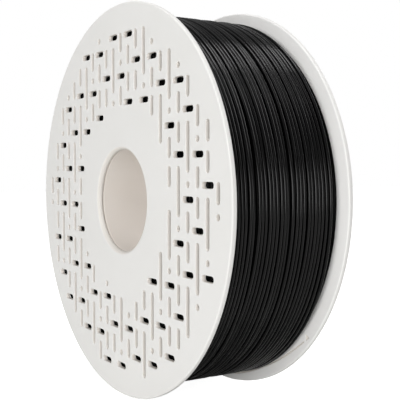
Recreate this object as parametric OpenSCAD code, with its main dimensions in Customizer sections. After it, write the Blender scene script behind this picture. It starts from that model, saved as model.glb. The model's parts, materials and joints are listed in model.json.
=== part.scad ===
// Spool of filament: two flanges snapped onto a ribbed hub, wound full of filament.
// The spool stands on its rims: its axis is Y, Z is up, and the origin is the middle of the bore.
// The front flange is the one at -Y.

/* [Spool] */
// Diameter of both flanges
flange_d = 200; // [190:1:220]
// Width over the outer faces of the flanges
spool_w = 67; // [60:1:75]
// Diameter of the bore that a spindle goes through
bore_d = 52.5; // [50:0.5:56]

/* [Flanges] */
// Thickness of a flange
flange_t = 2.5; // [2.2:0.1:3.5]
// Radius of the rounded lip at the mouth of the bore
lip_r = 2.1; // [1:0.1:2.1]
// Radius of the rounded edges of the rim
rim_r = 0.7; // [0.3:0.1:1]

/* [Slots in the flanges] */
// Width of every slot
slot_w = 3; // [2.4:0.1:3.6]
// Distance between columns of slots
slot_col = 8.1; // [7.8:0.1:10]
// Distance between rows of slots
slot_row = 6.75; // [6.5:0.05:9]
// Length of a level slot
level_slot = 9.6; // [7:0.1:10]
// Plain band between the drum and the slots
slot_hub_band = 2.5; // [1.5:0.5:6]
// Plain band between the slots and the rim
slot_rim_band = 8; // [7:0.1:12]

/* [Parking groove for the filament's end] */
// Width of the groove
groove_w = 0.8; // [0.6:0.1:1.2]
// Depth of the groove and of its pocket
groove_depth = 1; // [0.5:0.1:1.5]
// Angle that the groove spans round the flange
groove_span = 39; // [25:1:60]
// Distance from the rim to the groove's ends
groove_end_inset = 3.5; // [2.5:0.1:4]
// Distance from the rim to the groove's middle
groove_mid_inset = 5.9; // [5:0.1:6.1]
// Circumradius of the three-cornered pocket
pocket_r = 2; // [1.5:0.1:2.5]

/* [Hub] */
// Outer diameter of the winding drum
drum_d = 86; // [80:1:100]
// Wall of the winding drum
drum_wall = 2; // [1.8:0.1:3]
// Wall of the bore tube
tube_wall = 2; // [1.5:0.1:3]
// Radial ribs between the bore tube and the drum
rib_count = 6; // [4:1:8]
// Thickness of a rib
rib_t = 1.8; // [1.2:0.1:3]
// Bevel at the ends of the bore tube, which leaves a shadowed seam behind each flange
seam_bevel = 1.1; // [0.2:0.1:1.2]

/* [Snap lugs on the flanges] */
// Length of a lug, along the spool's axis
lug_len = 6; // [5:0.5:10]
// Wall of a lug
lug_wall = 1.6; // [1.2:0.1:2.5]
// Angle that a lug spans
lug_angle = 32; // [15:1:36]
// How far a lug's bead stands out
bead_out = 0.5; // [0.3:0.1:0.8]

/* [Filament] */
// Diameter of the filament
filament_d = 1.75; // [1.75:0.05:1.95]
// Diameter over the outer layer of the winding
winding_d = 189.2; // [150:0.2:192]
// How far the outer layer ends short of the layers below, at each flange
shoulder = 1.7; // [0:0.1:3]
// Most turns that the outer layer is drawn with
most_turns = 24; // [12:1:24]

/* [Hidden] */
$fn = 96;

// Clearances
fit_gap = 0.2;      // between a lug and the drum
side_gap = 0.3;     // between the winding and a flange
layer_gap = 0.1;    // between the outer layer and the layers below it
wound_gap = 0.15;   // between the first layer and the drum
tuck_gap = 0.55;    // round a filament end that is tucked into its pocket
least_turn_gap = 0.5;
overcut = 1;        // how far a cut runs past the face that it opens

// Flanges
flange_r = flange_d / 2;
bore_r = bore_d / 2;
inner_w = spool_w - 2 * flange_t;
lip_land = 0.3;     // least straight wall of the opening behind the lip
lip = min(lip_r, flange_t - lip_land);

// Hub
drum_r = drum_d / 2;
drum_ri = drum_r - drum_wall;
tube_r = bore_r + tube_wall;
rib_root = 0.5;     // how far a rib is buried in the walls that it joins
rib_pitch = 360 / rib_count;

// Snap lugs: a bead near each lug's tip clicks into a groove inside the drum
lug_r = drum_ri - fit_gap;
bead_r = 0.9;
bead_ring_r = lug_r + bead_out - bead_r;
lug_tip = 0.6;      // plain tip of a lug, past its bead
bead_depth = lug_len - lug_tip - bead_r;

// Slots: a pattern of period slot_period down each column, moved by slot_step rows
// from one column to the next, so that it runs in slanting stripes.
slot_r = slot_w / 2;
slot_field_ri = drum_r + slot_hub_band;
slot_field_ro = flange_r - slot_rim_band;
slot_period = 11;
slot_step = 3;
columns = floor(slot_field_ro / slot_col);
rows = ceil(slot_field_ro / slot_row) + 4;
row_shift = 0.4;    // share of a row by which the pattern sits above the axis
tall_rows = 3;      // rows that a tall slot runs over
short_rows = 1;     // rows that a short slot runs over
tall_key = 0;
short_keys = [5, 7];
level_keys = [4, 9];
round_key = 10;

// Parking groove, an arc that is flatter than the rim
groove_end_r = flange_r - groove_end_inset;
groove_mid_r = flange_r - groove_mid_inset;
groove_angle = 244.5;   // where the groove's middle lies, seen from outside
pocket_lead = 2.2;      // angle from the groove's end to the pocket
half_chord = groove_end_r * sin(groove_span / 2);
groove_sag = groove_mid_r - groove_end_r * cos(groove_span / 2);
groove_arc_r = (half_chord * half_chord + groove_sag * groove_sag) / (2 * groove_sag);
groove_arc_angle = 2 * asin(half_chord / groove_arc_r);

// Winding
filament_r = filament_d / 2;
ring_sides = 6;
rings_per_turn = 24;
turn_r = winding_d / 2 - filament_r;
// The outer layer's flats sag between rings, and the layers below stay clear of them.
layers_r = turn_r * cos(180 / rings_per_turn) - filament_r - layer_gap;
layers_ri = drum_r + wound_gap;
layers_w = inner_w - 2 * side_gap;
outer_w = layers_w - 2 * shoulder - filament_d;
turns = min(most_turns, floor(outer_w / (filament_d + least_turn_gap)));
turn_pitch = outer_w / turns;
wind_start = 180;       // angle where the outer layer rises from the layers below
crossover_start = 0.333;    // share of a turn after which the strand steps over to the next
crossover = 0.18;       // share of a turn in which it does so
tuck_bend = 2.2;        // bend radius where an end of the outer layer is tucked in
tuck_steps = 3;
tuck_floor_r = turn_r - tuck_bend - filament_d;
tuck_seat = 0.05;       // between a tucked end and the floor of its pocket

// Place along Y of an end of the outer layer; side is -1 at its start and 1 at its end
function end_y(side) = -side * outer_w / 2;

// First end of the strand, anchored through a hole in the drum
anchor_angle = 120;
anchor_y = 12;
anchor_len = 8;         // how far the end reaches into the hub
anchor_hole_r = filament_r + 0.4;

// ---------- Slots ----------

// True if a straight slot from a to b, with round ends, lies in the field of slots.
// The middle counts too, because it is the point nearest to the axis on a slot that passes it.
function in_field(a, b) =
    let (near = min(norm(a), norm(b), norm((a + b) / 2)), far = max(norm(a), norm(b)))
    near - slot_r >= slot_field_ri && far + slot_r <= slot_field_ro;

// Slots, each as the centres of its two round ends, that start at one place of the grid
function upright(x, row, reach) =
    [[x, (row + row_shift) * slot_row], [x, (row + row_shift + reach) * slot_row]];
function level(x, row) =
    let (half = level_slot / 2 - slot_r, y = (row + row_shift) * slot_row)
    [[x - half, y], [x + half, y]];
function kept(slot) = in_field(slot[0], slot[1]) ? [slot] : [];

// A tall slot that leaves the field becomes a short one at its lower or its upper end.
function tall(x, row) =
    let (whole = kept(upright(x, row, tall_rows)), low = kept(upright(x, row, short_rows)))
    len(whole) > 0 ? whole
    : len(low) > 0 ? low
    : kept(upright(x, row + tall_rows - short_rows, short_rows));

function has(keys, key) = len(search(key, keys)) > 0;
function slots_at(col, row) =
    let (key = ((row - slot_step * col) % slot_period + slot_period) % slot_period)
    key == tall_key ? tall(col * slot_col, row)
    : has(short_keys, key) ? kept(upright(col * slot_col, row, short_rows))
    : has(level_keys, key) ? kept(level(col * slot_col, row))
    : key == round_key ? kept(upright(col * slot_col, row, 0))
    : [];

slots = [for (col = [-columns : columns], row = [-rows : rows], slot = slots_at(col, row)) slot];

module slot_cut(ends) {
    span = ends[1] - ends[0];
    translate([ends[0].x, ends[0].y, -overcut])
        rotate(atan2(span.y, span.x))
            linear_extrude(flange_t + 2 * overcut) {
                circle(slot_r);
                if (norm(span) > 0) {
                    translate([norm(span), 0]) circle(slot_r);
                    translate([0, -slot_r]) square([norm(span), slot_w]);
                }
            }
}

// ---------- Flange ----------

// What rounding the corner at the origin takes away, from material that lies in +X, +Y
module corner_waste(r) {
    difference() {
        translate([-overcut, -overcut]) square(r + overcut);
        translate([r, r]) circle(r);
    }
}

// Half section of a flange: x is the radius, y runs from the inner face to the outer one
module flange_section() {
    difference() {
        translate([bore_r, 0]) square([flange_r - bore_r, flange_t]);
        translate([bore_r, flange_t]) mirror([0, 1]) corner_waste(lip);
        translate([flange_r, flange_t]) rotate(180) corner_waste(rim_r);
        translate([flange_r, 0]) mirror([1, 0]) corner_waste(rim_r);
    }
}

// One lug, from the inner face down, with the bead near its tip
module snap_lug() {
    rotate(-lug_angle / 2)
        rotate_extrude(angle = lug_angle) {
            translate([lug_r - lug_wall, -lug_len]) square([lug_wall, lug_len + rib_root]);
            translate([bead_ring_r, -bead_depth]) circle(bead_r);
        }
}

module parking_groove() {
    rotate(groove_angle) {
        translate([groove_mid_r - groove_arc_r, 0, 0]) {
            rotate(-groove_arc_angle / 2)
                rotate_extrude(angle = groove_arc_angle, $fn = 360)
                    translate([groove_arc_r - groove_w / 2, -overcut])
                        square([groove_w, groove_depth + overcut]);
            for (side = [-1, 1])
                rotate(side * groove_arc_angle / 2)
                    translate([groove_arc_r, 0, -overcut])
                        cylinder(d = groove_w, h = groove_depth + overcut, $fn = 24);
        }
    }
    rotate(groove_angle - groove_span / 2 - pocket_lead)
        translate([groove_end_r, 0, -overcut])
            rotate(180 - groove_angle + groove_span / 2 + pocket_lead)
                cylinder(r = pocket_r, h = groove_depth + overcut, $fn = 3);
}

// A flange with its inner face on Z = 0 and its outer face up
module flange() {
    difference() {
        union() {
            rotate_extrude($fn = 360) flange_section();
            for (k = [0 : rib_count - 1]) rotate(k * rib_pitch) snap_lug();
        }
        for (slot = slots) slot_cut(slot);
        parking_groove();
    }
}

module front_flange() {
    color("whitesmoke") translate([0, -inner_w / 2, 0]) rotate([90, 0, 0]) flange();
}

// The same moulding, turned round
module rear_flange() {
    color("whitesmoke")
        rotate([0, 0, 180]) translate([0, -inner_w / 2, 0]) rotate([90, 0, 0]) flange();
}

// ---------- Hub ----------

module tube(r_out, r_in, h) {
    difference() {
        cylinder(r = r_out, h = h, center = true, $fn = 180);
        cylinder(r = r_in, h = h + 2 * overcut, center = true, $fn = 180);
    }
}

// The hub stands on end here, with its axis along Z
module hub_moulding() {
    rib_len = drum_ri - tube_r + 2 * rib_root;
    difference() {
        union() {
            tube(drum_r, drum_ri, inner_w);
            tube(tube_r, bore_r, inner_w);
            for (k = [0 : rib_count - 1])
                rotate((k + 0.5) * rib_pitch)
                    translate([tube_r - rib_root, -rib_t / 2, -inner_w / 2])
                        cube([rib_len, rib_t, inner_w]);
        }
        for (side = [0, 1])
            mirror([0, 0, side]) {
                // Groove that takes the lugs' beads
                translate([0, 0, inner_w / 2 - bead_depth])
                    rotate_extrude($fn = 180)
                        translate([bead_ring_r, 0]) circle(bead_r + fit_gap);
                // Bevel of the bore's seam
                translate([0, 0, inner_w / 2 - seam_bevel])
                    cylinder(r1 = bore_r, r2 = bore_r + seam_bevel + overcut,
                             h = seam_bevel + overcut, $fn = 180);
            }
    }
}

module hub() {
    color("gainsboro")
        difference() {
            rotate([90, 0, 0]) hub_moulding();
            anchor_place() cylinder(r = anchor_hole_r, h = 2 * drum_wall + overcut, center = true);
        }
}

// ---------- Filament ----------

// Moves to the middle of the drum's wall where the strand starts, with Z pointing outwards
module anchor_place() {
    rotate([0, -anchor_angle, 0])
        translate([drum_r - drum_wall / 2, anchor_y, 0])
            rotate([0, 90, 0]) children();
}

// Moves to an end of the outer layer
module tuck_place(side) {
    rotate([0, -wind_start, 0])
        translate([0, end_y(side), side * tuck_bend])
            rotate([0, 90, 0]) children();
}

// All layers but the outer one, as one ring, with the strand's first end
module filament_layers() {
    color("#1c1c1c") {
        difference() {
            rotate([90, 0, 0]) tube(layers_r, layers_ri, layers_w);
            for (side = [-1, 1])
                tuck_place(side)
                    translate([0, 0, tuck_floor_r - tuck_seat])
                        cylinder(r = filament_r + tuck_gap, h = filament_d + tuck_bend + overcut);
        }
        anchor_place()
            translate([0, 0, -drum_wall / 2 - anchor_len])
                cylinder(r = filament_r, h = anchor_len + drum_wall + wound_gap + rib_root);
    }
}

// The outer layer: the strand's middle, with the direction away from the bend's centre
function radial(angle) = [cos(angle), 0, sin(angle)];
function tangent(angle) = [-sin(angle), 0, cos(angle)];

// How far the strand has stepped over, as a share of one pitch, at a share of a turn
function step_over(share) =
    let (s = min(1, max(0, (share - crossover_start) / crossover))) s * s * (3 - 2 * s);
function strand_y(turn) = end_y(-1) - turn_pitch * (floor(turn) + step_over(turn - floor(turn)));

function turn_point(k) =
    let (turn = k / rings_per_turn, out = radial(wind_start + 360 * turn))
    [turn_r * out + [0, strand_y(turn), 0], out];

// A tucked end bends down from the turns and runs straight into its pocket
function tuck_point(side, bend) =
    let (out = radial(wind_start) * cos(bend) + side * tangent(wind_start) * sin(bend))
    [(turn_r - tuck_bend) * radial(wind_start) + tuck_bend * out + [0, end_y(side), 0], out];
function tuck_tip(side) =
    let (last = tuck_point(side, 90))
    [last[0] - filament_d * radial(wind_start), last[1]];

strand = concat(
    [tuck_tip(-1)],
    [for (k = [tuck_steps : -1 : 1]) tuck_point(-1, 90 * k / tuck_steps)],
    [for (k = [0 : turns * rings_per_turn]) turn_point(k)],
    [for (k = [1 : tuck_steps]) tuck_point(1, 90 * k / tuck_steps)],
    [tuck_tip(1)]
);

// Least gap between the strand and itself, over all stretches half a turn apart or more
least_gap = min([
    for (i = [0 : len(strand) - 1], j = [i + rings_per_turn / 2 : 1 : len(strand) - 1])
        norm(strand[i][0] - strand[j][0])
]) - filament_d;

module filament_outer_layer() {
    echo(least_gap_of_outer_layer_mm = least_gap);
    n = ring_sides;
    last = len(strand) - 1;
    points = [
        for (ring = strand, k = [0 : n - 1])
            ring[0] + filament_r * (ring[1] * cos(360 * k / n) + [0, sin(360 * k / n), 0])
    ];
    walls = [
        for (i = [0 : last - 1], k = [0 : n - 1])
            let (a = i * n + k, b = i * n + (k + 1) % n)
            each [[a, b, b + n], [a, b + n, a + n]]
    ];
    caps = [
        for (k = [1 : n - 2])
            each [[0, k + 1, k], [last * n, last * n + k, last * n + k + 1]]
    ];
    color("#262626") polyhedron(points = points, faces = concat(walls, caps));
}

front_flange();
rear_flange();
hub();
filament_layers();
filament_outer_layer();
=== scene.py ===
# Filament spool: two pierced flanges snapped onto a hub, wound with one strand of filament.
# Everything is in metres in the frame of the CAD model: the axis is Y, Z is up, and the origin is
# the middle of the bore. The front flange is the one at -Y.
import json
from math import atan2, ceil, cos, degrees, floor, hypot, pi, radians, sin

import bmesh
import bpy
import numpy as np
from mathutils import Matrix, Vector

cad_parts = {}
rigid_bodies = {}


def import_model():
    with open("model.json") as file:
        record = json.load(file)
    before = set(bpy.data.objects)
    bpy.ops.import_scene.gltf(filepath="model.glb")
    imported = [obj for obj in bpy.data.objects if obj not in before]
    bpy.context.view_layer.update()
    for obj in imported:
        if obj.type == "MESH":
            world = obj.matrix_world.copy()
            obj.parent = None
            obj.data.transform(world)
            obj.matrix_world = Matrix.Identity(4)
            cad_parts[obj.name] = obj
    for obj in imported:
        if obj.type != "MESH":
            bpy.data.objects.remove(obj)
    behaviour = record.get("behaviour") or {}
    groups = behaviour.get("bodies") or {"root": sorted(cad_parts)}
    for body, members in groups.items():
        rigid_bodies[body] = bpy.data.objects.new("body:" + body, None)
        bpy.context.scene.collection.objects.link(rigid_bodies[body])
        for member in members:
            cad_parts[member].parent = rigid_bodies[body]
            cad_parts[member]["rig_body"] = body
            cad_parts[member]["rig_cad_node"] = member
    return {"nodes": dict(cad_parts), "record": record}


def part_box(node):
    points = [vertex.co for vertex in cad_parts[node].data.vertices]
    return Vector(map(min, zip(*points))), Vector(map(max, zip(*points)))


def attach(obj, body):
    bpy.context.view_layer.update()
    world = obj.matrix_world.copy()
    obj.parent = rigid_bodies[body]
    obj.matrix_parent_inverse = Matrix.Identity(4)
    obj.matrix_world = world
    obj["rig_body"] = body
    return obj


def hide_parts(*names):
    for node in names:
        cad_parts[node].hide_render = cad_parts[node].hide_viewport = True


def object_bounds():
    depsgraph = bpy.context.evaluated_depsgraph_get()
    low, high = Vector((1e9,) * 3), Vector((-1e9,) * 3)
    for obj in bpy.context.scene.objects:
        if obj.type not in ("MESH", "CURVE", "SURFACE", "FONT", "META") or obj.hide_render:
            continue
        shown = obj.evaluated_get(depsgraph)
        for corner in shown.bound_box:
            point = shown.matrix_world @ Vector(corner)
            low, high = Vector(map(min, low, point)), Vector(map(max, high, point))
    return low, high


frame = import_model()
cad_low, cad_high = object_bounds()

MM = 0.001

# ---------- Sizes, in millimetres and degrees ----------
# The main ones are read from the frame. The others are those of the CAD model too, unless a
# comment says otherwise.

def cad_size(corners, axis):
    """Size of a box of the frame along an axis, in millimetres. It is rounded to a tenth, because
    the mesh of a round wall can fall a few hundredths short of the wall."""
    low, high = corners
    return round((high[axis] - low[axis]) / MM, 1)


FLANGE_R = cad_size((cad_low, cad_high), 0) / 2
SPOOL_W = cad_size((cad_low, cad_high), 1)      # over the outer faces of the flanges
INNER_W = cad_size(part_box("hub"), 1)            # between their inner faces
FLANGE_T = (SPOOL_W - INNER_W) / 2
BORE_R = frame["record"]["mounts"][0]["dims"]["r_mm"]
LIP_R = 2.1                 # rounded lip at the mouth of the bore
RIM_R = 0.7                 # rounded edges of the rim

SLOT_R = 1.5
SLOT_EDGE = 0.25            # rounding of the slots' edges, which the CAD model leaves sharp
SLOT_COLUMN = 8.1           # between columns of slots
SLOT_ROW = 6.75             # between rows of slots
LEVEL_REACH = 6.6           # between the centres of a level slot's round ends
SLOT_FIELD = (45.5, 92.0)   # inner and outer radius of the field of slots
SLOT_PERIOD = 11            # rows after which the pattern comes again in a column
SLOT_STEP = 3               # rows by which it moves from one column to the next
ROW_SHIFT = 0.4             # share of a row by which it sits above the axis
TALL_ROWS = 3               # rows that a tall slot runs over
SHORT_ROWS = 1              # rows that a short slot runs over
TALL_KEY = 0                # row of the period at which each kind of slot starts
SHORT_KEYS = (5, 7)
LEVEL_KEYS = (4, 9)
ROUND_KEY = 10

GROOVE_HALF = 0.4           # half the width of the parking groove
GROOVE_DEPTH = 1.0          # of the groove and of its pocket
GROOVE_EDGE = 0.12          # rounding of their edges, which the CAD model leaves sharp
GROOVE_SPAN = 39.0          # angle that the groove spans round the flange
GROOVE_END_R = 96.5         # from the axis to the groove's ends, and to the pocket
GROOVE_MID_R = 94.1         # from the axis to the groove's middle
GROOVE_ANGLE = 244.5        # where the groove's middle lies
POCKET_LEAD = 2.2           # angle from the groove's end to the pocket
POCKET_R = 2.0              # circumradius of the three-cornered pocket
POCKET_CORNER = 0.25        # rounding of its corners, which the CAD model leaves sharp

LUG_R = 40.8                # outside of the ring of snap lugs
LUG_WALL = 1.6
LUG_LEN = 6.0
LUG_ANGLE = 32.0            # angle that a lug spans
LUG_ROOT = 0.5              # how far a lug is sunk into the plate
LUG_COUNT = 6
BEAD_R = 0.9
BEAD_OUT = 0.5              # how far a bead stands out of its lug
BEAD_DEPTH = 4.5            # from the inner face to a bead's middle

SEAM_BEVEL = 1.1            # bevel at the ends of the hub's bore tube

STRAND_R = 0.875
WINDING_R = cad_size(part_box("filament_outer_layer"), 0) / 2     # top of the highest lanes
LAYERS_R = 92.2             # from the axis to the top of the layers below; 91.95 in the CAD model
LAYERS_INNER_R = 43.15
LAYERS_W = cad_size(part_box("filament_layers"), 1)
OUTER_W = 56.25             # between the middles of the outer layer's first and last lane
LANES = 26                  # lanes of the outer layer, one turn each; 24 in the CAD model
STRAND_START = 180.0        # angle at which the strand rises from the layers below
STEP_OVER_START = 0.333     # share of a turn after which the strand steps over to the next lane
STEP_OVER = 0.18            # share of a turn in which it does so
TUCK_BEND = 2.2             # bend radius where an end of the strand is tucked in
TUCK_TAIL = 2.5             # straight piece past that bend; 1.75 in the CAD model

# ---------- Fineness of the meshes ----------

RIM_SIDES = 288             # round the flange
LIP_SIDES = 192             # round the mouth of the bore
RIM_STEPS = 5               # along a rounded edge of the rim
LIP_STEPS = 10              # along the lip
EDGE_STEPS = 2              # along the rounded edge of a slot, the groove or the pocket
SLOT_END_STEPS = 8          # round an end of a slot
GROOVE_STEPS = 40           # along the groove
GROOVE_END_STEPS = 6        # round an end of the groove
CORNER_STEPS = 4            # round a corner of the pocket
LUG_STEPS = 10              # across a lug
BEAD_STEPS = 8              # round a bead
STRAND_SIDES = 10           # round the strand
TURN_STEPS = 120            # along one turn of the strand
TUCK_STEPS = 5              # along a tucked bend
LAYERS_SIDES = 160          # round the layers below
WELD = 0.002                # distance, in millimetres, within which points are welded
CREASE = 25.0               # angle at which an edge of the hub starts to look sharp

# A Mix node of colours reads its colours at these inputs and gives its result at this output.
MIX_LOW, MIX_HIGH, MIXED = 6, 7, 2


# ---------- Helpers ----------

def colour(text):
    """Linear colour of an sRGB hex value."""
    parts = [int(text[k:k + 2], 16) / 255 for k in (1, 3, 5)]
    return [c / 12.92 if c <= 0.04045 else ((c + 0.055) / 1.055) ** 2.4 for c in parts] + [1.0]


def add(tree, kind, inputs=(), **settings):
    """Adds a node with its settings, and gives each listed input a link, a value or the colour of
    a hex value."""
    node = tree.nodes.new(kind)
    for name, value in settings.items():
        setattr(node, name, value)
    for name, value in inputs:
        if isinstance(value, bpy.types.NodeSocket):
            tree.links.new(value, node.inputs[name])
        elif isinstance(value, str) and value.startswith("#"):
            node.inputs[name].default_value = colour(value)
        else:
            node.inputs[name].default_value = value
    return node


def placed(name, data):
    """A new object at the origin that holds a mesh, a lamp or a camera."""
    made = bpy.data.objects.new(name, data)
    bpy.context.scene.collection.objects.link(made)
    return made


def mesh_object(name, points, faces=(), edges=()):
    """A new mesh object at the origin from points in metres."""
    mesh = bpy.data.meshes.new(name)
    mesh.from_pydata([tuple(p) for p in points], list(edges), [tuple(f) for f in faces])
    return placed(name, mesh)


def scaled(points):
    """Points in metres, from points in millimetres."""
    return [tuple(c * MM for c in p) for p in points]


def flattened(rings):
    """The points of all rings in one list, in metres, from rings in millimetres."""
    return scaled([point for ring in rings for point in ring])


def skin(rings, closed_along=False):
    """Faces between closed rings of equal length, whose points are numbered ring by ring."""
    count, faces = len(rings[0]), []
    steps = len(rings) if closed_along else len(rings) - 1
    for i in range(steps):
        a, b = i * count, (i + 1) % len(rings) * count
        for k in range(count):
            n = (k + 1) % count
            faces.append((a + k, a + n, b + n, b + k))
    return faces


def join_parts(parts):
    """One list of points and one of faces from several."""
    points, faces = [], []
    for some_points, some_faces in parts:
        start = len(points)
        points += [tuple(p) for p in some_points]
        faces += [tuple(start + v for v in f) for f in some_faces]
    return points, faces


def lathe(profile, count, closed=False):
    """Surface of revolution about Z of a profile of (radius, height) points, in metres."""
    rings = [
        [(r * cos(2 * pi * k / count), r * sin(2 * pi * k / count), z) for k in range(count)]
        for r, z in profile
    ]
    return [p for ring in rings for p in ring], skin(rings, closed_along=closed)


def arc(centre, radius, start, end, steps):
    """Points on an arc in a plane; angles in degrees."""
    turns = [radians(start + (end - start) * k / steps) for k in range(steps + 1)]
    return [(centre[0] + radius * cos(a), centre[1] + radius * sin(a)) for a in turns]


def outwards(mesh):
    """Turns every face of a closed mesh outwards."""
    shape = bmesh.new()
    shape.from_mesh(mesh)
    bmesh.ops.recalc_face_normals(shape, faces=shape.faces)
    shape.to_mesh(mesh)
    shape.free()


def new_tree(name, sockets):
    """An empty Geometry Nodes tree with a geometry input, a geometry output and named inputs."""
    tree = bpy.data.node_groups.new(name, "GeometryNodeTree")
    tree.interface.new_socket("Geometry", in_out="INPUT", socket_type="NodeSocketGeometry")
    tree.interface.new_socket("Geometry", in_out="OUTPUT", socket_type="NodeSocketGeometry")
    for socket, kind in sockets:
        tree.interface.new_socket(socket, in_out="INPUT", socket_type="NodeSocket" + kind)
    return tree, add(tree, "NodeGroupInput").outputs, add(tree, "NodeGroupOutput")


def run_tree(holder, tree, values, name):
    """What a Geometry Nodes tree makes of the holder, with its named inputs set, as a plain mesh
    object of its own. The holder goes."""
    modifier = holder.modifiers.new(tree.name, "NODES")
    modifier.node_group = tree
    for item in tree.interface.items_tree:
        if item.in_out == "INPUT" and item.name in values:
            modifier[item.identifier] = values[item.name]
    graph = bpy.context.evaluated_depsgraph_get()
    mesh = bpy.data.meshes.new_from_object(holder.evaluated_get(graph), depsgraph=graph)
    mesh.name = name
    bpy.data.objects.remove(holder)
    return placed(name, mesh)


# ---------- Materials ----------

def empty_material(name):
    """A new material, and its tree without any node."""
    material = bpy.data.materials.new(name)
    material.use_nodes = True
    material.node_tree.nodes.clear()
    return material, material.node_tree


def close_plastic(tree, base, relief, rough, bump, index):
    """Ends a plastic's tree: a base colour, a relief that runs the roughness from one value to
    another and raises a bump of a strength and a height in millimetres, and an index of
    refraction."""
    gloss = add(tree, "ShaderNodeMapRange",
                [("Value", relief), ("To Min", rough[0]), ("To Max", rough[1])])
    raised = add(tree, "ShaderNodeBump",
                 [("Height", relief), ("Strength", bump[0]), ("Distance", bump[1] * MM)])
    surface = add(tree, "ShaderNodeBsdfPrincipled",
                  [("Base Color", base), ("Roughness", gloss.outputs["Result"]),
                   ("Normal", raised.outputs["Normal"]), ("IOR", index)])
    add(tree, "ShaderNodeOutputMaterial", [("Surface", surface.outputs["BSDF"])])


def moulded_polystyrene():
    """High-impact polystyrene from a finely textured mould: an even off-white matt face, with faint
    flow clouds a few centimetres wide and a grain that softens every highlight. The inner side
    is painted paler than the outer one, painted light that makes up for the shade between the
    flanges. The slots' walls are painted warmer and paler than the face, as painted bounce
    light, and the lip, the parking groove and its pocket are painted darker, as painted shade."""
    cloud_size, grain_size, grain_share = 28.0, 0.45, 0.25
    # Depths past a face, in millimetres, between which the next zone's colour fades in.
    outside_fade, wall_fade = (0.1, 0.3), (0.1, 0.4)
    material, tree = empty_material("moulded_polystyrene")
    place = add(tree, "ShaderNodeTexCoord").outputs["Object"]
    clouds = add(tree, "ShaderNodeTexNoise",
                 [("Vector", place), ("Scale", 1 / (cloud_size * MM)), ("Detail", 3.0)])
    # The real grain is about 0.1 mm wide; it is drawn 0.45 mm wide so that it shows at all.
    grain = add(tree, "ShaderNodeTexNoise",
                [("Vector", place), ("Scale", 1 / (grain_size * MM)), ("Detail", 2.0)])
    speckle = add(tree, "ShaderNodeMath", [(0, grain.outputs["Fac"]), (1, grain_share)],
                  operation="MULTIPLY")
    shade = add(tree, "ShaderNodeMath",
                [(0, clouds.outputs["Fac"]), (1, speckle.outputs[0])], operation="ADD").outputs[0]

    # A point's distance from the middle plane and from the axis tells in which zone it lies.
    across = add(tree, "ShaderNodeSeparateXYZ", [("Vector", place)])
    beyond = add(tree, "ShaderNodeMath", [(0, across.outputs["Y"])],
                 operation="ABSOLUTE").outputs[0]
    outside = add(tree, "ShaderNodeMapRange",
                  [("Value", beyond), ("From Min", (INNER_W / 2 + outside_fade[0]) * MM),
                   ("From Max", (INNER_W / 2 + outside_fade[1]) * MM)]).outputs["Result"]
    wall = add(tree, "ShaderNodeMapRange",
               [("Value", beyond), ("From Min", (SPOOL_W / 2 - wall_fade[0]) * MM),
                ("From Max", (SPOOL_W / 2 - wall_fade[1]) * MM)]).outputs["Result"]
    radial = add(tree, "ShaderNodeVectorMath", [(0, place), (1, (1, 0, 1))], operation="MULTIPLY")
    reach = add(tree, "ShaderNodeVectorMath", [(0, radial.outputs[0])],
                operation="LENGTH").outputs["Value"]
    outer_and_painted_walls = add(tree, "ShaderNodeMix",
                 [("Factor", shade), (MIX_LOW, "#e3e2df"), (MIX_HIGH, "#e9e8e6")],
                 data_type="RGBA").outputs[MIXED]
    # Painted shade and painted bounce light on the walls below the faces: the groove, its pocket
    # and the lip are painted darker, and the slots' walls warmer and paler than the face.
    for limit, low, high in (
        (FLANGE_R - 2 * RIM_R, "#d9d4cd", "#dfdad4"),   # groove and pocket
        (SLOT_FIELD[1], "#efeae3", "#f3eee8"),          # walls of the slots
        (BORE_R + LIP_R, "#dbd7d1", "#e1ddd8"),         # lip
    ):
        within = add(tree, "ShaderNodeMath", [(0, reach), (1, limit * MM)], operation="LESS_THAN")
        zone = add(tree, "ShaderNodeMath", [(0, wall), (1, within.outputs[0])],
                   operation="MULTIPLY")
        tint = add(tree, "ShaderNodeMix", [("Factor", shade), (MIX_LOW, low), (MIX_HIGH, high)],
                   data_type="RGBA")
        outer_and_painted_walls = add(tree, "ShaderNodeMix",
                     [("Factor", zone.outputs[0]), (MIX_LOW, outer_and_painted_walls),
                      (MIX_HIGH, tint.outputs[MIXED])],
                     data_type="RGBA").outputs[MIXED]
    # Painted light: the inner side is painted paler than the outer one, to make up for the shade
    # between the flanges.
    painted_light_inner_side = add(tree, "ShaderNodeMix",
                   [("Factor", shade), (MIX_LOW, "#f0efed"), (MIX_HIGH, "#f5f4f2")],
                   data_type="RGBA")
    base = add(tree, "ShaderNodeMix",
               [("Factor", outside), (MIX_LOW, painted_light_inner_side.outputs[MIXED]), (MIX_HIGH, outer_and_painted_walls)],
               data_type="RGBA")
    close_plastic(tree, base.outputs[MIXED], grain.outputs["Fac"], rough=(0.58, 0.72),
                  bump=(0.12, 0.05), index=1.5)
    return material


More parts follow.
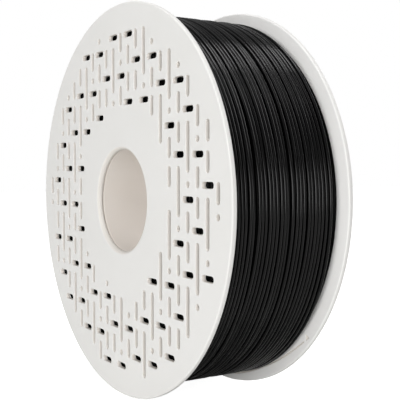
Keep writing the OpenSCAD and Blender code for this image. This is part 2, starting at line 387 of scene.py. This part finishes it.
def drawn_polystyrene():
    """High-impact polystyrene drawn off a mirror-smooth core: a smoother and warmer wall than the
    flanges', with faint draw marks that run along the bore. The bevel at the tube's ends is
    painted a little darker, painted shade that keeps the seam a soft dark line with no bright
    one beside it."""
    mark_size, mark_stretch, cloud_size, bevel_fade = 1.5, 40, 18.0, 0.2
    material, tree = empty_material("core_drawn_polystyrene")
    place = add(tree, "ShaderNodeTexCoord").outputs["Object"]
    # Stretched along Y, the noise makes draw marks about 1.5 mm wide and as long as the tube.
    stretched = add(tree, "ShaderNodeMapping",
                    [("Vector", place), ("Scale", (1.0, 1 / mark_stretch, 1.0))])
    marks = add(tree, "ShaderNodeTexNoise",
                [("Vector", stretched.outputs["Vector"]), ("Scale", 1 / (mark_size * MM)),
                 ("Detail", 2.0)])
    clouds = add(tree, "ShaderNodeTexNoise",
                 [("Vector", place), ("Scale", 1 / (cloud_size * MM)), ("Detail", 2.0)])
    across = add(tree, "ShaderNodeSeparateXYZ", [("Vector", place)])
    beyond = add(tree, "ShaderNodeMath", [(0, across.outputs["Y"])], operation="ABSOLUTE")
    bevel_start = INNER_W / 2 - SEAM_BEVEL
    # Painted shade: the bevel at the tube's ends is painted darker, so that the seam shows as a
    # soft dark line.
    ends = add(tree, "ShaderNodeMapRange",
               [("Value", beyond.outputs[0]), ("From Min", bevel_start * MM),
                ("From Max", (bevel_start + bevel_fade) * MM)])
    wall = add(tree, "ShaderNodeMix",
               [("Factor", clouds.outputs["Fac"]), (MIX_LOW, "#e3dcd5"), (MIX_HIGH, "#e8e2dc")],
               data_type="RGBA")
    base = add(tree, "ShaderNodeMix",
               [("Factor", ends.outputs["Result"]), (MIX_LOW, wall.outputs[MIXED]),
                (MIX_HIGH, "#cdc5bd")],
               data_type="RGBA")
    close_plastic(tree, base.outputs[MIXED], marks.outputs["Fac"], rough=(0.42, 0.52),
                  bump=(0.06, 0.04), index=1.5)
    return material


def extruded_pla(name, by_path, shades, index):
    """Black polylactide pulled from a round die: a satin gloss whose highlight runs in fine
    streaks. By path, the streaks follow the strand's own UV map, and otherwise they lie round the
    winding. The shades are its darkest and its lightest black. The index of refraction stays well
    below polylactide's usual 1.46, because that turns so deep a black grey. The layers below get
    darker shades and a lower index still, as painted shade."""
    material, tree = empty_material(name)
    # The die's real marks are a few hundredths of a millimetre wide. They are drawn 0.3 mm wide
    # and 60 mm long on the strand, and 0.5 mm wide and 3 mm long on the layers below, so that
    # they show at all.
    if by_path:
        place = add(tree, "ShaderNodeUVMap", uv_map="UVMap").outputs["UV"]
        size = (1 / (60 * MM), 1 / (0.3 * MM), 1.0)
    else:
        place = add(tree, "ShaderNodeTexCoord").outputs["Object"]
        size = (1 / (3 * MM), 1 / (0.5 * MM), 1 / (3 * MM))
    laid = add(tree, "ShaderNodeMapping", [("Vector", place), ("Scale", size)])
    streaks = add(tree, "ShaderNodeTexNoise",
                  [("Vector", laid.outputs["Vector"]), ("Scale", 1.0), ("Detail", 2.0)])
    base = add(tree, "ShaderNodeMix",
               [("Factor", streaks.outputs["Fac"]), (MIX_LOW, shades[0]), (MIX_HIGH, shades[1])],
               data_type="RGBA")
    close_plastic(tree, base.outputs[MIXED], streaks.outputs["Fac"], rough=(0.13, 0.23),
                  bump=(0.1, 0.02), index=index)
    return material


# ---------- Flanges ----------

SLOT_REACH = {  # from a slot's middle to the centre of a round end, for each kind
    "level": (LEVEL_REACH / 2, 0.0),
    "round": (0.0, 0.0),
    "short": (0.0, SHORT_ROWS * SLOT_ROW / 2),
    "tall": (0.0, TALL_ROWS * SLOT_ROW / 2),
}


def in_field(x, y, reach):
    """True if a slot lies in the field. Its middle counts too, because that is the point nearest
    to the axis on a slot that passes it."""
    ends = [hypot(x + side * reach[0], y + side * reach[1]) for side in (-1, 1)]
    near, far = min(*ends, hypot(x, y)), max(ends)
    return near - SLOT_R >= SLOT_FIELD[0] and far + SLOT_R <= SLOT_FIELD[1]


def slot_field():
    """(x, y, kind) of the middle of every slot: a pattern that comes again down each column and
    moves from one column to the next, so that it runs in slanting stripes."""
    found = []
    columns = floor(SLOT_FIELD[1] / SLOT_COLUMN)
    rows = ceil(SLOT_FIELD[1] / SLOT_ROW) + TALL_ROWS + 1
    for column in range(-columns, columns + 1):
        for row in range(-rows, rows + 1):
            key = (row - SLOT_STEP * column) % SLOT_PERIOD
            tries = []  # kinds with the row at which each starts; the first that fits is taken
            if key == TALL_KEY:
                tries = [("tall", row), ("short", row), ("short", row + TALL_ROWS - SHORT_ROWS)]
            elif key in SHORT_KEYS:
                tries = [("short", row)]
            elif key in LEVEL_KEYS:
                tries = [("level", row)]
            elif key == ROUND_KEY:
                tries = [("round", row)]
            for kind, start in tries:
                reach = SLOT_REACH[kind]
                x, y = column * SLOT_COLUMN, (start + ROW_SHIFT) * SLOT_ROW + reach[1]
                if in_field(x, y, reach):
                    found.append((x, y, kind))
                    break
    return found


def slot_outline(radius, reach, steps):
    """Closed outline of a straight slot with round ends, middle at the origin."""
    lean = atan2(reach[1], reach[0])
    points = []
    for side in (1, -1):
        points += [
            (side * (reach[0] + radius * cos(lean + a)), side * (reach[1] + radius * sin(lean + a)))
            for a in (radians(-90 + 180 * k / steps) for k in range(steps + 1))
        ]
    if reach == (0.0, 0.0):  # a round slot has no straight sides, so its ends share points
        points = points[:steps] + points[steps + 1:-1]
    return points


def rounded_edge(radius, start_height, sign, steps):
    """(offset, height) down a rounded edge: from the face into the wall."""
    return [
        (radius * (1 - sin(a)), start_height + sign * radius * (1 - cos(a)))
        for a in (pi / 2 * k / steps for k in range(steps + 1))
    ]


def slot_sleeve(kind):
    """The wall of one slot from the inner face to the outer one, with rounded edges."""
    profile = (rounded_edge(SLOT_EDGE, 0.0, 1, EDGE_STEPS)
               + rounded_edge(SLOT_EDGE, FLANGE_T, -1, EDGE_STEPS)[::-1])
    rings = [
        [(x, y, z) for x, y in slot_outline(SLOT_R + offset, SLOT_REACH[kind], SLOT_END_STEPS)]
        for offset, z in profile
    ]
    return mesh_object(f"slot_sleeve_{kind}", flattened(rings), skin(rings))


def trough(outline_at):
    """A trough sunk into the inner face: rounded mouth, walls and floor."""
    profile = rounded_edge(GROOVE_EDGE, 0.0, 1, EDGE_STEPS) + [(0.0, GROOVE_DEPTH)]
    rings = [[(x, y, z) for x, y in outline_at(offset)] for offset, z in profile]
    count = len(rings[0])
    last = (len(rings) - 1) * count
    return flattened(rings), skin(rings) + [tuple(range(last, last + count))]


def groove_outline(offset):
    """Outline of the parking groove, an arc flatter than the rim with round ends."""
    half_chord = GROOVE_END_R * sin(radians(GROOVE_SPAN / 2))
    sag = GROOVE_MID_R - GROOVE_END_R * cos(radians(GROOVE_SPAN / 2))
    radius = (half_chord ** 2 + sag ** 2) / (2 * sag)
    reach = atan2(half_chord, radius - sag)
    width = GROOVE_HALF + offset
    points = []
    for side, facing in ((1, 0), (-1, pi)):
        for k in range(GROOVE_STEPS + 1):
            a = reach * (2 * k / GROOVE_STEPS - 1) * side
            points.append(((radius + side * width) * cos(a), (radius + side * width) * sin(a)))
        a = side * reach
        tip = (radius * cos(a), radius * sin(a))
        for k in range(1, GROOVE_END_STEPS):
            turn = a + facing + pi * k / GROOVE_END_STEPS
            points.append((tip[0] + width * cos(turn), tip[1] + width * sin(turn)))
    shift = GROOVE_MID_R - radius
    lean = radians(GROOVE_ANGLE)
    return [((x + shift) * cos(lean) - y * sin(lean), (x + shift) * sin(lean) + y * cos(lean))
            for x, y in points]


def pocket_outline(offset):
    """Outline of the three-cornered pocket at the groove's end, with slightly rounded corners."""
    place = radians(GROOVE_ANGLE - GROOVE_SPAN / 2 - POCKET_LEAD)
    out = POCKET_R - 2 * POCKET_CORNER
    points = []
    for a in (180, 300, 420):
        centre = (GROOVE_END_R * cos(place) + out * cos(radians(a)),
                  GROOVE_END_R * sin(place) + out * sin(radians(a)))
        points += arc(centre, POCKET_CORNER + offset, a - 60, a + 60, CORNER_STEPS)
    return points


def snap_lug():
    """One lug below the inner face, with the bead near its tip."""
    half_bead = (BEAD_R ** 2 - (BEAD_R - BEAD_OUT) ** 2) ** 0.5
    swing = degrees(atan2(half_bead, BEAD_R - BEAD_OUT))
    bead = arc((LUG_R + BEAD_OUT - BEAD_R, -BEAD_DEPTH), BEAD_R, -swing, swing, BEAD_STEPS)
    inside = LUG_R - LUG_WALL
    profile = ([(inside, LUG_ROOT), (inside, -LUG_LEN), (LUG_R, -LUG_LEN)]
               + bead + [(LUG_R, LUG_ROOT)])
    rings = []
    for k in range(LUG_STEPS + 1):
        a = radians(LUG_ANGLE * (k / LUG_STEPS - 0.5))
        rings.append([(r * cos(a), r * sin(a), z) for r, z in profile])
    count = len(profile)
    last = LUG_STEPS * count
    faces = skin(rings) + [tuple(range(count - 1, -1, -1)), tuple(range(last, last + count))]
    return mesh_object("snap_lug", flattened(rings), faces)


def flange_edges():
    """Everything of a flange that isn't its two flat faces, its slots or its lugs."""
    land = 0.35  # a flat strip beside each big rounding, on which the shading settles
    rim = ([(FLANGE_R - RIM_R - land, 0.0)]
           + [(FLANGE_R - o, z) for o, z in rounded_edge(RIM_R, 0.0, 1, RIM_STEPS)]
           + [(FLANGE_R - o, z) for o, z in rounded_edge(RIM_R, FLANGE_T, -1, RIM_STEPS)[::-1]]
           + [(FLANGE_R - RIM_R - land, FLANGE_T)])
    lip = ([(BORE_R + LIP_R + land, FLANGE_T)]
           + [(BORE_R + o, z) for o, z in rounded_edge(LIP_R, FLANGE_T, -1, LIP_STEPS)]
           + [(BORE_R, 0.0)])
    return join_parts([
        lathe(scaled(rim), RIM_SIDES),
        lathe(scaled(lip), LIP_SIDES),
        trough(groove_outline),
        trough(pocket_outline),
    ])


def pierced_flange_tree():
    """Sets a sleeve on every slot point, closes both faces between all the edges, adds the lugs."""
    tree, given, result = new_tree("pierced_flange", [
        ("Slot points", "Object"), ("Sleeves", "Collection"), ("Lug", "Object"),
        ("Lug count", "Int"), ("Thickness", "Float"), ("Weld", "Float"), ("Plastic", "Material")])
    points = add(tree, "GeometryNodeObjectInfo", [("Object", given["Slot points"])])
    sleeves = add(tree, "GeometryNodeCollectionInfo",
                  [("Collection", given["Sleeves"]), ("Separate Children", True),
                   ("Reset Children", True)])
    kind = add(tree, "GeometryNodeInputNamedAttribute", [("Name", "kind")], data_type="INT")
    laid = add(tree, "GeometryNodeInstanceOnPoints",
               [("Points", points.outputs["Geometry"]), ("Instance", sleeves.outputs[0]),
                ("Pick Instance", True), ("Instance Index", kind.outputs["Attribute"])])
    walls = add(tree, "GeometryNodeRealizeInstances", [("Geometry", laid.outputs["Instances"])])
    edges = add(tree, "GeometryNodeJoinGeometry", [("Geometry", walls.outputs["Geometry"])])
    tree.links.new(given["Geometry"], edges.inputs["Geometry"])
    smooth = add(tree, "GeometryNodeSetShadeSmooth",
                 [("Geometry", edges.outputs["Geometry"]), ("Shade Smooth", True)])

    # Each flat face fills the room between the open edges, which have one neighbouring face. A
    # Compare node of whole numbers reads its third and fourth input.
    beside = add(tree, "GeometryNodeInputMeshEdgeNeighbors")
    is_open = add(tree, "FunctionNodeCompare", [(2, beside.outputs[0]), (3, 1)],
                  data_type="INT", operation="EQUAL")
    height = add(tree, "ShaderNodeSeparateXYZ",
                 [("Vector", add(tree, "GeometryNodeInputPosition").outputs[0])])
    middle = add(tree, "ShaderNodeMath", [(0, given["Thickness"]), (1, 0.5)],
                 operation="MULTIPLY")
    whole = add(tree, "GeometryNodeJoinGeometry", [("Geometry", smooth.outputs["Geometry"])])
    for operation in ("GREATER_THAN", "LESS_THAN"):
        side = add(tree, "ShaderNodeMath",
                   [(0, height.outputs["Z"]), (1, middle.outputs[0])], operation=operation)
        chosen = add(tree, "FunctionNodeBooleanMath",
                     [(0, is_open.outputs[0]), (1, side.outputs[0])], operation="AND")
        loops = add(tree, "GeometryNodeMeshToCurve",
                    [("Mesh", smooth.outputs["Geometry"]), ("Selection", chosen.outputs[0])])
        face = add(tree, "GeometryNodeFillCurve", [("Curve", loops.outputs["Curve"])])
        flat = add(tree, "GeometryNodeSetShadeSmooth",
                   [("Geometry", face.outputs["Mesh"]), ("Shade Smooth", False)])
        if operation == "GREATER_THAN":
            lift = add(tree, "ShaderNodeCombineXYZ", [("Z", given["Thickness"])])
            done = add(tree, "GeometryNodeTransform",
                       [("Geometry", flat.outputs["Geometry"]),
                        ("Translation", lift.outputs["Vector"])])
        else:
            done = add(tree, "GeometryNodeFlipFaces", [("Mesh", flat.outputs["Geometry"])])
        tree.links.new(done.outputs[0], whole.inputs["Geometry"])
    welded = add(tree, "GeometryNodeMergeByDistance",
                 [("Geometry", whole.outputs["Geometry"]), ("Distance", given["Weld"])])

    lug = add(tree, "GeometryNodeObjectInfo", [("Object", given["Lug"])])
    spots = add(tree, "GeometryNodePoints", [("Count", given["Lug count"])])
    share = add(tree, "ShaderNodeMath",
                [(0, add(tree, "GeometryNodeInputIndex").outputs[0]), (1, given["Lug count"])],
                operation="DIVIDE")
    turn = add(tree, "ShaderNodeMath", [(0, share.outputs[0]), (1, 2 * pi)], operation="MULTIPLY")
    about = add(tree, "ShaderNodeCombineXYZ", [("Z", turn.outputs[0])])
    lugs = add(tree, "GeometryNodeInstanceOnPoints",
               [("Points", spots.outputs[0]), ("Instance", lug.outputs["Geometry"]),
                ("Rotation", about.outputs["Vector"])])
    both = add(tree, "GeometryNodeJoinGeometry", [("Geometry", welded.outputs["Geometry"])])
    tree.links.new(lugs.outputs["Instances"], both.inputs["Geometry"])
    real = add(tree, "GeometryNodeRealizeInstances", [("Geometry", both.outputs["Geometry"])])
    painted = add(tree, "GeometryNodeSetMaterial",
                  [("Geometry", real.outputs["Geometry"]), ("Material", given["Plastic"])])
    tree.links.new(painted.outputs["Geometry"], result.inputs["Geometry"])
    return tree


def make_flanges(plastic):
    """Both flanges: one moulding, set on the front and, turned round, on the rear."""
    field = slot_field()
    kinds = sorted(SLOT_REACH)
    points = mesh_object("slot_points", [(x * MM, y * MM, 0.0) for x, y, kind in field])
    marks = points.data.attributes.new("kind", "INT", "POINT")
    marks.data.foreach_set("value", [kinds.index(kind) for x, y, kind in field])
    lug = snap_lug()
    sleeves = bpy.data.collections.new("slot_sleeves")
    for kind in kinds:
        sleeves.objects.link(slot_sleeve(kind))
    edges = mesh_object("flange_edges", *flange_edges())
    front = run_tree(edges, pierced_flange_tree(), {
        "Slot points": points, "Sleeves": sleeves, "Lug": lug, "Lug count": LUG_COUNT,
        "Thickness": FLANGE_T * MM, "Weld": WELD * MM, "Plastic": plastic},
        "front_flange_moulding")
    for helper in [points, lug, *sleeves.objects]:
        bpy.data.objects.remove(helper)
    bpy.data.collections.remove(sleeves)
    left_over = front.data.attributes.get("kind")
    if left_over is not None:
        front.data.attributes.remove(left_over)
    outwards(front.data)
    rear = placed("rear_flange_moulding", front.data.copy())
    seat = Matrix.Translation((0, -INNER_W / 2 * MM, 0)) @ Matrix.Rotation(pi / 2, 4, "X")
    front.data.transform(seat)
    rear.data.transform(Matrix.Rotation(pi, 4, "Z") @ seat)
    return front, rear


# ---------- Hub ----------

def make_hub(plastic):
    """The hub's own solid, welded and shaded smooth round its walls."""
    made = frame["nodes"]["hub"].copy()
    made.data = made.data.copy()
    made.name = made.data.name = "hub_moulding"
    made.parent = None
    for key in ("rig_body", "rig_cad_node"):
        if key in made:
            del made[key]
    bpy.context.scene.collection.objects.link(made)
    shape = bmesh.new()
    shape.from_mesh(made.data)
    bmesh.ops.remove_doubles(shape, verts=shape.verts, dist=WELD * MM)
    bmesh.ops.dissolve_degenerate(shape, edges=shape.edges, dist=WELD * MM)
    for edge in shape.edges:
        edge.smooth = len(edge.link_faces) == 2 and edge.calc_face_angle() < radians(CREASE)
    for face in shape.faces:
        face.smooth = True
    shape.to_mesh(made.data)
    shape.free()
    made.data.materials.clear()
    made.data.materials.append(plastic)
    return made


# ---------- Filament ----------

def lanes_at(angles):
    """Place along Y and height, in millimetres, of every lane at every angle.
    A strand that sinks between its neighbours lets them close up, as round strands do. The room
    that is left over opens dark gaps, which widen and close again round the spool."""
    seed, harmonics = 208, 7
    spread, mean_height, lowest = 0.3, -0.15, -0.6  # of the heights of whole lanes
    least_gap, rarity = 0.15, 3     # of a gap's share; a higher power makes wide gaps rarer
    chance = np.random.default_rng(seed)

    def waves(size, fall):
        """Waves round the spool, of which each harmonic is smaller by a power of its number."""
        total = np.zeros(len(angles))
        for harmonic in range(1, harmonics + 1):
            phase = chance.uniform(0, 2 * pi)
            total += size * chance.normal() / harmonic ** fall * np.cos(harmonic * angles + phase)
        return total

    heights = np.zeros((LANES + 1, len(angles)))
    for lane in range(LANES + 1):
        own = spread * chance.normal() + mean_height
        heights[lane] = np.clip(own + waves(size=0.14, fall=0.8), lowest, 0.0)
    gaps = np.zeros((LANES, len(angles)))
    for lane in range(LANES):
        own = least_gap + chance.uniform() ** rarity
        gaps[lane] = own * np.exp(waves(size=0.25, fall=0.5))
    beside = np.sqrt((2 * STRAND_R) ** 2 - np.diff(heights, axis=0) ** 2)
    gaps *= (OUTER_W - beside.sum(axis=0)) / gaps.sum(axis=0)
    places = np.vstack([np.zeros(len(angles)), np.cumsum(beside + gaps, axis=0)])
    return places - OUTER_W / 2, heights


def strand_path():
    """The outer layer's strand as a polyline: down into the layers at both ends. It steps over to
    the next lane on the side that faces +X, from 60 degrees below the level of the axis to 5
    degrees above it."""
    start = radians(STRAND_START)
    angles = start + np.arange(TURN_STEPS) * 2 * pi / TURN_STEPS
    places, heights = lanes_at(angles)
    points = []
    for k in range(LANES * TURN_STEPS + 1):
        at = k % TURN_STEPS
        lane = min(k // TURN_STEPS, LANES - 1)
        share = k / TURN_STEPS - lane
        step = min(1.0, max(0.0, (share - STEP_OVER_START) / STEP_OVER))
        step = step * step * (3 - 2 * step)
        y = (1 - step) * places[lane, at] + step * places[lane + 1, at]
        height = (1 - step) * heights[lane, at] + step * heights[lane + 1, at]
        radius = WINDING_R - STRAND_R + height
        points.append((radius * cos(angles[at]), -y, radius * sin(angles[at])))
    out, along = Vector((cos(start), 0, sin(start))), Vector((-sin(start), 0, cos(start)))

    def tuck(end, side):
        """Points past an end: a bend down and a straight tail."""
        centre = Vector(end) - out * TUCK_BEND
        turned = [centre + (out * cos(a) + along * side * sin(a)) * TUCK_BEND
                  for a in (pi / 2 * k / TUCK_STEPS for k in range(1, TUCK_STEPS + 1))]
        return [tuple(p) for p in turned + [turned[-1] - out * TUCK_TAIL]]

    return tuck(points[0], -1)[::-1] + points + tuck(points[-1], 1)


def wound_strand_tree():
    """Sweeps the strand's round section along its path, which wanders a little, and lays a UV map
    along and around it."""
    tree, given, result = new_tree("wound_strand", [
        ("Strand radius", "Float"), ("Sides", "Int"), ("Wander", "Float"),
        ("Wander length", "Float"), ("Seed", "Float"), ("Plastic", "Material")])
    path = add(tree, "GeometryNodeMeshToCurve", [("Mesh", given["Geometry"])])
    fineness = add(tree, "ShaderNodeMath", [(0, 1.0), (1, given["Wander length"])],
                   operation="DIVIDE")
    noise = add(tree, "ShaderNodeTexNoise",
                [("W", given["Seed"]), ("Scale", fineness.outputs[0]), ("Detail", 1.0)],
                noise_dimensions="4D")
    centred = add(tree, "ShaderNodeVectorMath",
                  [(0, noise.outputs["Color"]), (1, (0.5, 0.5, 0.5))], operation="SUBTRACT")
    shift = add(tree, "ShaderNodeVectorMath",
                [(0, centred.outputs[0]), ("Scale", given["Wander"])], operation="SCALE")
    laid = add(tree, "GeometryNodeSetPosition",
               [("Geometry", path.outputs["Curve"]), ("Offset", shift.outputs[0])])
    section = add(tree, "GeometryNodeCurvePrimitiveCircle",
                  [("Resolution", given["Sides"]), ("Radius", given["Strand radius"])])
    measured = []
    for name, curve in (("Along", laid.outputs["Geometry"]), ("Around", section.outputs["Curve"])):
        kept = add(tree, "GeometryNodeCaptureAttribute", [("Geometry", curve)])
        kept.capture_items.new("FLOAT", name)
        spline = add(tree, "GeometryNodeSplineParameter")
        tree.links.new(spline.outputs["Length"], kept.inputs[1])
        measured.append(kept)
    along, around = measured
    tube = add(tree, "GeometryNodeCurveToMesh",
               [("Curve", along.outputs["Geometry"]), ("Profile Curve", around.outputs["Geometry"]),
                ("Fill Caps", True)])
    place = add(tree, "ShaderNodeCombineXYZ", [("X", along.outputs[1]), ("Y", around.outputs[1])])
    mapped = add(tree, "GeometryNodeStoreNamedAttribute",
                 [("Geometry", tube.outputs["Mesh"]), ("Name", "UVMap")],
                 data_type="FLOAT2", domain="CORNER")
    tree.links.new(place.outputs["Vector"], mapped.inputs["Value"])
    smooth = add(tree, "GeometryNodeSetShadeSmooth",
                 [("Geometry", mapped.outputs["Geometry"]), ("Shade Smooth", True)])
    real = add(tree, "GeometryNodeRealizeInstances", [("Geometry", smooth.outputs["Geometry"])])
    painted = add(tree, "GeometryNodeSetMaterial",
                  [("Geometry", real.outputs["Geometry"]), ("Material", given["Plastic"])])
    tree.links.new(painted.outputs["Geometry"], result.inputs["Geometry"])
    return tree


def make_outer_layer(plastic):
    """The outer layer of the winding as one unbroken strand."""
    path = scaled(strand_path())
    line = mesh_object("strand_path", path, edges=[(k, k + 1) for k in range(len(path) - 1)])
    made = run_tree(line, wound_strand_tree(), {
        "Strand radius": STRAND_R * MM, "Sides": STRAND_SIDES, "Wander": 0.06 * MM,
        "Wander length": 14 * MM, "Seed": 3.0, "Plastic": plastic},
        "outer_layer_of_filament")
    outwards(made.data)
    return made


def make_inner_layers(plastic):
    """The layers below as one body. Its outside is ribbed by the turns of the layer under the
    outer one, and its sides by the last turn of every layer, which shows through the slots."""
    play = 0.01                 # room for each turn beyond the strand's own width
    fullness = 0.98             # share of a rib's room that it fills
    turn_swing, turn_steps = 80, 4      # degrees to either side that a turn shows on the outside
    side_swing, side_steps = 75, 3      # and on the sides
    shoulder = 1.2              # from the outside down to the first layer that shows on a side
    foot = 0.8                  # taken off the winding's depth before its layers are counted
    sunk = 0.35                 # how far every other layer ends short of its neighbours
    side_inset = 0.9            # how far the sides lie in, beside the drum
    layer_step = 2 * STRAND_R * sin(radians(60))
    half_w = LAYERS_W / 2
    turns = round(LAYERS_W / (2 * STRAND_R + play))
    pitch = LAYERS_W / turns
    outside = []
    for k in range(turns):
        y = -half_w + (k + 0.5) * pitch
        swings = (radians(-turn_swing + 2 * turn_swing * i / turn_steps)
                  for i in range(turn_steps + 1))
        outside += [(LAYERS_R - STRAND_R + STRAND_R * cos(a), y + pitch / 2 * sin(a) * fullness)
                    for a in swings]
    side = []
    for k in range(floor((LAYERS_R - LAYERS_INNER_R - foot) / layer_step)):
        r = LAYERS_R - shoulder - (k + 0.5) * layer_step
        top = half_w - (0.0 if k % 2 else sunk)
        swings = (radians(side_swing - 2 * side_swing * i / side_steps)
                  for i in range(side_steps + 1))
        side += [(r + layer_step / 2 * sin(a) * fullness, top - STRAND_R * (1 - cos(a)))
                 for a in swings]
    profile = outside + side
    profile += [(LAYERS_INNER_R, half_w - side_inset), (LAYERS_INNER_R, side_inset - half_w)]
    profile += [(r, -y) for r, y in side[::-1]]
    points, faces = lathe(scaled(profile), LAYERS_SIDES, closed=True)
    made = mesh_object("inner_layers_of_filament", points, faces)
    made.data.transform(Matrix.Rotation(pi / 2, 4, "X"))
    for face in made.data.polygons:
        face.use_smooth = True
    made.data.materials.append(plastic)
    outwards(made.data)
    return made


# ---------- The object ----------

front_flange, rear_flange = make_flanges(moulded_polystyrene())
hub = make_hub(drawn_polystyrene())
outer_layer = make_outer_layer(
    extruded_pla("extruded_pla_strand", True, ("#040404", "#080809"), 1.27))
# Painted shade: the layers below get a darker copy of the strand's material, with darker blacks and
# a lower index, because they lie in the outer layer's shade.
inner_layers = make_inner_layers(
    extruded_pla("extruded_pla_layers_painted_shade", False, ("#020202", "#040404"), 1.1))

for piece, node, slot in (
    (front_flange, "front_flange", "flange_plastic"),
    (rear_flange, "rear_flange", "flange_plastic"),
    (hub, "hub", "hub_plastic"),
    (outer_layer, "filament_outer_layer", "filament_plastic"),
    (inner_layers, "filament_layers", "filament_plastic"),
):
    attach(piece, "root")
    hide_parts(node)

# ---------- Stage, light and camera ----------

def seen_or_mirrored(tree, mirrored):
    """One for the rays that show the background, a share of that for those that show it in gloss,
    and nothing for the light that falls on the spool."""
    ray = add(tree, "ShaderNodeLightPath").outputs
    gloss = add(tree, "ShaderNodeMath",
                [(0, ray["Is Glossy Ray"]), (1, ray["Is Transmission Ray"])], operation="MAXIMUM")
    share = add(tree, "ShaderNodeMath", [(0, gloss.outputs[0]), (1, mirrored)],
                operation="MULTIPLY")
    shown = add(tree, "ShaderNodeMath",
                [(0, ray["Is Camera Ray"]), (1, share.outputs[0])], operation="MAXIMUM")
    return shown.outputs[0]


def white_stage():
    """A pale floor that the spool stands on. It throws light back up and keeps the spool's shadow.
    Where the camera sees it, it also glows, a little more farther off, so that it runs into the
    white behind. In gloss, a weaker glow starts a little way from the spool."""
    half_size, clearance = 3.0, 0.05    # metres; millimetres below the rims
    material, tree = empty_material("matt_white_paper")
    place = add(tree, "ShaderNodeTexCoord").outputs["Object"]
    fibre = add(tree, "ShaderNodeTexNoise", [("Vector", place), ("Scale", 1 / (2 * MM))])
    tint = add(tree, "ShaderNodeMix",
               [("Factor", fibre.outputs["Fac"]), (MIX_LOW, "#efefed"), (MIX_HIGH, "#f5f5f3")],
               data_type="RGBA")
    paper = add(tree, "ShaderNodeBsdfDiffuse", [("Color", tint.outputs[MIXED])])
    away = add(tree, "ShaderNodeVectorMath", [(0, place)], operation="LENGTH")
    # The glow, and its share in gloss, each between two distances in metres from the middle.
    level, mirrored = [
        add(tree, "ShaderNodeMapRange",
            [("Value", away.outputs["Value"]), ("From Min", near), ("From Max", far),
             ("To Min", low), ("To Max", high)])
        for near, far, low, high in ((0.2, 0.8, 0.95, 1.0), (0.12, 0.4, 0.0, 0.4))]
    glow = add(tree, "ShaderNodeEmission",
               [("Color", (1, 1, 1, 1)), ("Strength", level.outputs["Result"])])
    lit = add(tree, "ShaderNodeAddShader", [(0, paper.outputs[0]), (1, glow.outputs[0])])
    either = add(tree, "ShaderNodeMixShader",
                 [("Fac", seen_or_mirrored(tree, mirrored.outputs["Result"])),
                  (1, paper.outputs[0]), (2, lit.outputs[0])])
    add(tree, "ShaderNodeOutputMaterial", [("Surface", either.outputs[0])])
    low = -(FLANGE_R + clearance) * MM
    corners = [(x * half_size, y * half_size, low) for x, y in ((-1, -1), (1, -1), (1, 1), (-1, 1))]
    floor_piece = mesh_object("floor", corners, [(0, 1, 2, 3)])
    floor_piece.data.materials.append(material)


def turned(right, up, back):
    """Rotation of a lamp or a camera that looks away from back, with up at its top."""
    return Matrix((right, up, back)).transposed().to_euler()


def soft_light():
    """Dim even light from all round, a white background, and softboxes that face the spool."""
    world = bpy.data.worlds.new("white_studio")
    bpy.context.scene.world = world
    world.use_nodes = True
    tree = world.node_tree
    tree.nodes.clear()
    studio = add(tree, "ShaderNodeBackground", [("Color", (1, 1, 1, 1)), ("Strength", 0.14)])
    white = add(tree, "ShaderNodeBackground", [("Color", (1, 1, 1, 1)), ("Strength", 1.0)])
    either = add(tree, "ShaderNodeMixShader",
                 [("Fac", seen_or_mirrored(tree, mirrored=0.25)), (1, studio.outputs[0]),
                  (2, white.outputs[0])])
    add(tree, "ShaderNodeOutputWorld", [("Surface", either.outputs[0])])
    for name, place, upright, power, width, height in (  # metres and watts
        ("key_softbox", (0.95, -1.46, 0.17), (0, 0, 1), 19.5, 1.5, 0.55),
        ("side_softbox", (1.6, -0.42, 0.12), (0, 0, 1), 1.8, 0.4, 0.4),
        ("top_softbox", (0.08, 0.0, 1.05), (0, 1, 0), 4.8, 0.34, 0.3),
        ("fill_softbox", (0.3, -0.9, 1.3), (0, 0, 1), 3.4, 0.8, 0.6),
        ("back_softbox", (0.0, 1.4, 0.75), (0, 0, 1), 9.0, 1.2, 0.8),
    ):
        lamp = bpy.data.lights.new(name, "AREA")
        lamp.shape = "RECTANGLE"
        lamp.energy, lamp.size, lamp.size_y = power, width, height
        holder = placed(name, lamp)
        holder.location = place
        back = Vector(place).normalized()
        right = Vector(upright).cross(back).normalized()
        holder.rotation_euler = turned(right, back.cross(right), back)


def camera():
    """A 74 mm lens, 57 degrees round from the spool's front and 441 mm from its middle, which lies
    a little left of the picture's middle."""
    lens_length, film_width = 74.3148, 36.0
    round_by, up_by = radians(57.259), radians(2.411)
    distance, aside, below = 440.873, 12.484, 0.474
    back = Vector((sin(round_by) * cos(up_by), -cos(round_by) * cos(up_by), sin(up_by)))
    right = Vector((cos(round_by), sin(round_by), 0))
    up = back.cross(right)
    lens = bpy.data.cameras.new("camera")
    lens.sensor_width, lens.lens = film_width, lens_length
    holder = placed("camera", lens)
    holder.location = (back * distance + right * aside - up * below) * MM
    holder.rotation_euler = turned(right, up, back)
    bpy.context.scene.camera = holder


white_stage()
soft_light()
camera()
bpy.context.scene.view_settings.view_transform = "Standard"
